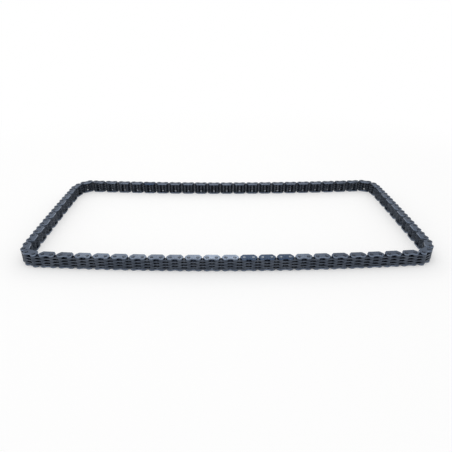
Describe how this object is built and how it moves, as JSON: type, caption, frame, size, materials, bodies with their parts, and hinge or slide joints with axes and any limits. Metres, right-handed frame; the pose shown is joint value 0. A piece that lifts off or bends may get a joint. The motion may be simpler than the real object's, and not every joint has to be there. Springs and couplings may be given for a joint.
{
  "type": "timing chain",
  "caption": "Closed loop of inverted-tooth timing chain lying on its edge, with toes inside, guide plates on both faces and three dark blue timing-mark plates.",
  "frame": {"origin": "on the ground under the middle of the loop's box, at the level of the lower riveted pin heads", "axes": "+X along the long runs, +Z along the pins, the bowed-out long run at -Y"},
  "size_m": [0.4502, 0.2212, 0.0154],
  "materials": {
    "plate_steel": "dark hardened steel, lightly oiled",
    "guide_steel": "dark slate steel, tumbled satin",
    "pin_steel": "riveted heads, worn brighter",
    "timing_mark_finish": "dark blue mark on steel"
  },
  "bodies": {
    "front_left_run": {"front_left_run_guides": "guide_steel", "front_left_run_plates": "plate_steel", "front_left_run_pins": "pin_steel"},
    "front_middle_run": {"timing_mark_guides": "timing_mark_finish", "front_middle_run_guides": "guide_steel", "front_middle_run_plates": "plate_steel", "front_middle_run_pins": "pin_steel"},
    "front_right_run": {"front_right_run_guides": "guide_steel", "front_right_run_plates": "plate_steel", "front_right_run_pins": "pin_steel"},
    "front_right_link_1": {"front_right_link_1_guides": "guide_steel", "front_right_link_1_plates": "plate_steel", "front_right_link_1_pins": "pin_steel"},
    "front_right_link_2": {"front_right_link_2_plates": "plate_steel"},
    "front_right_link_3": {"front_right_link_3_guides": "guide_steel", "front_right_link_3_plates": "plate_steel", "front_right_link_3_pins": "pin_steel"},
    "right_run_front": {"right_run_front_guides": "guide_steel", "right_run_front_plates": "plate_steel", "right_run_front_pins": "pin_steel"},
    "right_run_back": {"right_run_back_guides": "guide_steel", "right_run_back_plates": "plate_steel", "right_run_back_pins": "pin_steel"},
    "back_right_link_1": {"back_right_link_1_guides": "guide_steel", "back_right_link_1_plates": "plate_steel", "back_right_link_1_pins": "pin_steel"},
    "back_right_link_2": {"back_right_link_2_plates": "plate_steel"},
    "back_right_link_3": {"back_right_link_3_guides": "guide_steel", "back_right_link_3_plates": "plate_steel", "back_right_link_3_pins": "pin_steel"},
    "back_right_run": {"back_right_run_guides": "guide_steel", "back_right_run_plates": "plate_steel", "back_right_run_pins": "pin_steel"},
    "back_middle_run": {"back_middle_run_guides": "guide_steel", "back_middle_run_plates": "plate_steel", "back_middle_run_pins": "pin_steel"},
    "back_left_run": {"back_left_run_guides": "guide_steel", "back_left_run_plates": "plate_steel", "back_left_run_pins": "pin_steel"},
    "back_left_link_1": {"back_left_link_1_guides": "guide_steel", "back_left_link_1_plates": "plate_steel", "back_left_link_1_pins": "pin_steel"},
    "back_left_link_2": {"back_left_link_2_plates": "plate_steel"},
    "back_left_link_3": {"back_left_link_3_guides": "guide_steel", "back_left_link_3_plates": "plate_steel", "back_left_link_3_pins": "pin_steel"},
    "left_run_back": {"left_run_back_guides": "guide_steel", "left_run_back_plates": "plate_steel", "left_run_back_pins": "pin_steel"},
    "left_run_front": {"left_run_front_guides": "guide_steel", "left_run_front_plates": "plate_steel", "left_run_front_pins": "pin_steel"},
    "front_left_link_1": {"front_left_link_1_guides": "guide_steel", "front_left_link_1_plates": "plate_steel", "front_left_link_1_pins": "pin_steel"},
    "front_left_link_2": {"front_left_link_2_plates": "plate_steel"},
    "front_left_link_3": {"front_left_link_3_guides": "guide_steel", "front_left_link_3_plates": "plate_steel", "front_left_link_3_pins": "pin_steel"}
  },
  "joints": [
    {"name": "front_middle_run_to_front_right_run_pivot", "type": "hinge", "parent": "front_middle_run", "child": "front_right_run", "pos_m": [0.062, -0.10619, 0.00772], "axis": [0, 0, 1], "range_deg": [-6, 6]},
    {"name": "front_right_run_to_front_right_link_1_pivot", "type": "hinge", "parent": "front_right_run", "child": "front_right_link_1", "pos_m": [0.20461, -0.09788, 0.00772], "axis": [0, 0, 1], "range_deg": [-6, 6]},
    {"name": "front_right_link_1_to_front_right_link_2_pivot", "type": "hinge", "parent": "front_right_link_1", "child": "front_right_link_2", "pos_m": [0.2125, -0.09255, 0.00772], "axis": [0, 0, 1], "range_deg": [-10, 15]},
    {"name": "front_right_link_2_to_front_right_link_3_pivot", "type": "hinge", "parent": "front_right_link_2", "child": "front_right_link_3", "pos_m": [0.21783, -0.08466, 0.00772], "axis": [0, 0, 1], "range_deg": [-10, 15]},
    {"name": "front_right_link_3_to_right_run_front_pivot", "type": "hinge", "parent": "front_right_link_3", "child": "right_run_front", "pos_m": [0.22077, -0.0756, 0.00772], "axis": [0, 0, 1], "range_deg": [-6, 4]},
    {"name": "right_run_front_to_right_run_back_pivot", "type": "hinge", "parent": "right_run_front", "child": "right_run_back", "pos_m": [0.22152, 0.01012, 0.00772], "axis": [0, 0, 1], "range_deg": [-8, 12]},
    {"name": "right_run_back_to_back_right_link_1_pivot", "type": "hinge", "parent": "right_run_back", "child": "back_right_link_1", "pos_m": [0.22077, 0.08632, 0.00772], "axis": [0, 0, 1], "range_deg": [-6, 4]},
    {"name": "back_right_link_1_to_back_right_link_2_pivot", "type": "hinge", "parent": "back_right_link_1", "child": "back_right_link_2", "pos_m": [0.21912, 0.0957, 0.00772], "axis": [0, 0, 1], "range_deg": [-15, 10]},
    {"name": "back_right_link_2_to_back_right_link_3_pivot", "type": "hinge", "parent": "back_right_link_2", "child": "back_right_link_3", "pos_m": [0.21326, 0.1032, 0.00772], "axis": [0, 0, 1], "range_deg": [-15, 10]},
    {"name": "back_right_link_3_to_back_right_run_pivot", "type": "hinge", "parent": "back_right_link_3", "child": "back_right_run", "pos_m": [0.20442, 0.10677, 0.00772], "axis": [0, 0, 1], "range_deg": [-6, 6]},
    {"name": "front_left_run_to_front_middle_run_pivot", "type": "hinge", "parent": "front_middle_run", "child": "front_left_run", "pos_m": [-0.06181, -0.10619, 0.00772], "axis": [0, 0, 1], "range_deg": [-6, 6]},
    {"name": "front_left_link_3_to_front_left_run_pivot", "type": "hinge", "parent": "front_left_run", "child": "front_left_link_3", "pos_m": [-0.20442, -0.09788, 0.00772], "axis": [0, 0, 1], "range_deg": [-6, 6]},
    {"name": "front_left_link_2_to_front_left_link_3_pivot", "type": "hinge", "parent": "front_left_link_3", "child": "front_left_link_2", "pos_m": [-0.21326, -0.09431, 0.00772], "axis": [0, 0, 1], "range_deg": [-10, 15]},
    {"name": "front_left_link_1_to_front_left_link_2_pivot", "type": "hinge", "parent": "front_left_link_2", "child": "front_left_link_1", "pos_m": [-0.21912, -0.08681, 0.00772], "axis": [0, 0, 1], "range_deg": [-10, 15]},
    {"name": "left_run_front_to_front_left_link_1_pivot", "type": "hinge", "parent": "front_left_link_1", "child": "left_run_front", "pos_m": [-0.22077, -0.07743, 0.00772], "axis": [0, 0, 1], "range_deg": [-4, 6]},
    {"name": "left_run_back_to_left_run_front_pivot", "type": "hinge", "parent": "left_run_front", "child": "left_run_back", "pos_m": [-0.22152, -0.00123, 0.00772], "axis": [0, 0, 1], "range_deg": [-12, 8]},
    {"name": "back_left_link_3_to_left_run_back_pivot", "type": "hinge", "parent": "left_run_back", "child": "back_left_link_3", "pos_m": [-0.22077, 0.08449, 0.00772], "axis": [0, 0, 1], "range_deg": [-4, 6]},
    {"name": "back_left_link_2_to_back_left_link_3_pivot", "type": "hinge", "parent": "back_left_link_3", "child": "back_left_link_2", "pos_m": [-0.21783, 0.09355, 0.00772], "axis": [0, 0, 1], "range_deg": [-15, 10]},
    {"name": "back_left_link_1_to_back_left_link_2_pivot", "type": "hinge", "parent": "back_left_link_2", "child": "back_left_link_1", "pos_m": [-0.2125, 0.10144, 0.00772], "axis": [0, 0, 1], "range_deg": [-15, 10]},
    {"name": "back_left_run_to_back_left_link_1_pivot", "type": "hinge", "parent": "back_left_link_1", "child": "back_left_run", "pos_m": [-0.20461, 0.10677, 0.00772], "axis": [0, 0, 1], "range_deg": [-6, 6]},
    {"name": "back_middle_run_to_back_left_run_pivot", "type": "hinge", "parent": "back_left_run", "child": "back_middle_run", "pos_m": [-0.062, 0.09846, 0.00772], "axis": [0, 0, 1], "range_deg": [-6, 6]}
  ],
  "couplings": [
    {"joint": "front_right_run_to_front_right_link_1_pivot", "follows": "front_middle_run_to_front_right_run_pivot", "ratio": -1},
    {"joint": "front_right_link_2_to_front_right_link_3_pivot", "follows": "front_right_link_1_to_front_right_link_2_pivot", "ratio": 1},
    {"joint": "front_right_link_3_to_right_run_front_pivot", "follows": "right_run_front_to_right_run_back_pivot", "ratio": -0.5},
    {"joint": "right_run_back_to_back_right_link_1_pivot", "follows": "right_run_front_to_right_run_back_pivot", "ratio": -0.5},
    {"joint": "back_right_link_1_to_back_right_link_2_pivot", "follows": "front_right_link_1_to_front_right_link_2_pivot", "ratio": -1},
    {"joint": "back_right_link_2_to_back_right_link_3_pivot", "follows": "front_right_link_1_to_front_right_link_2_pivot", "ratio": -1},
    {"joint": "back_right_link_3_to_back_right_run_pivot", "follows": "front_middle_run_to_front_right_run_pivot", "ratio": 1},
    {"joint": "front_left_run_to_front_middle_run_pivot", "follows": "front_middle_run_to_front_right_run_pivot", "ratio": -1},
    {"joint": "front_left_link_3_to_front_left_run_pivot", "follows": "front_middle_run_to_front_right_run_pivot", "ratio": 1},
    {"joint": "front_left_link_2_to_front_left_link_3_pivot", "follows": "front_right_link_1_to_front_right_link_2_pivot", "ratio": 1},
    {"joint": "front_left_link_1_to_front_left_link_2_pivot", "follows": "front_right_link_1_to_front_right_link_2_pivot", "ratio": 1},
    {"joint": "left_run_front_to_front_left_link_1_pivot", "follows": "right_run_front_to_right_run_back_pivot", "ratio": 0.5},
    {"joint": "left_run_back_to_left_run_front_pivot", "follows": "right_run_front_to_right_run_back_pivot", "ratio": -1},
    {"joint": "back_left_link_3_to_left_run_back_pivot", "follows": "right_run_front_to_right_run_back_pivot", "ratio": 0.5},
    {"joint": "back_left_link_2_to_back_left_link_3_pivot", "follows": "front_right_link_1_to_front_right_link_2_pivot", "ratio": -1},
    {"joint": "back_left_link_1_to_back_left_link_2_pivot", "follows": "front_right_link_1_to_front_right_link_2_pivot", "ratio": -1},
    {"joint": "back_left_run_to_back_left_link_1_pivot", "follows": "front_middle_run_to_front_right_run_pivot", "ratio": -1},
    {"joint": "back_middle_run_to_back_left_run_pivot", "follows": "front_middle_run_to_front_right_run_pivot", "ratio": 1}
  ]
}
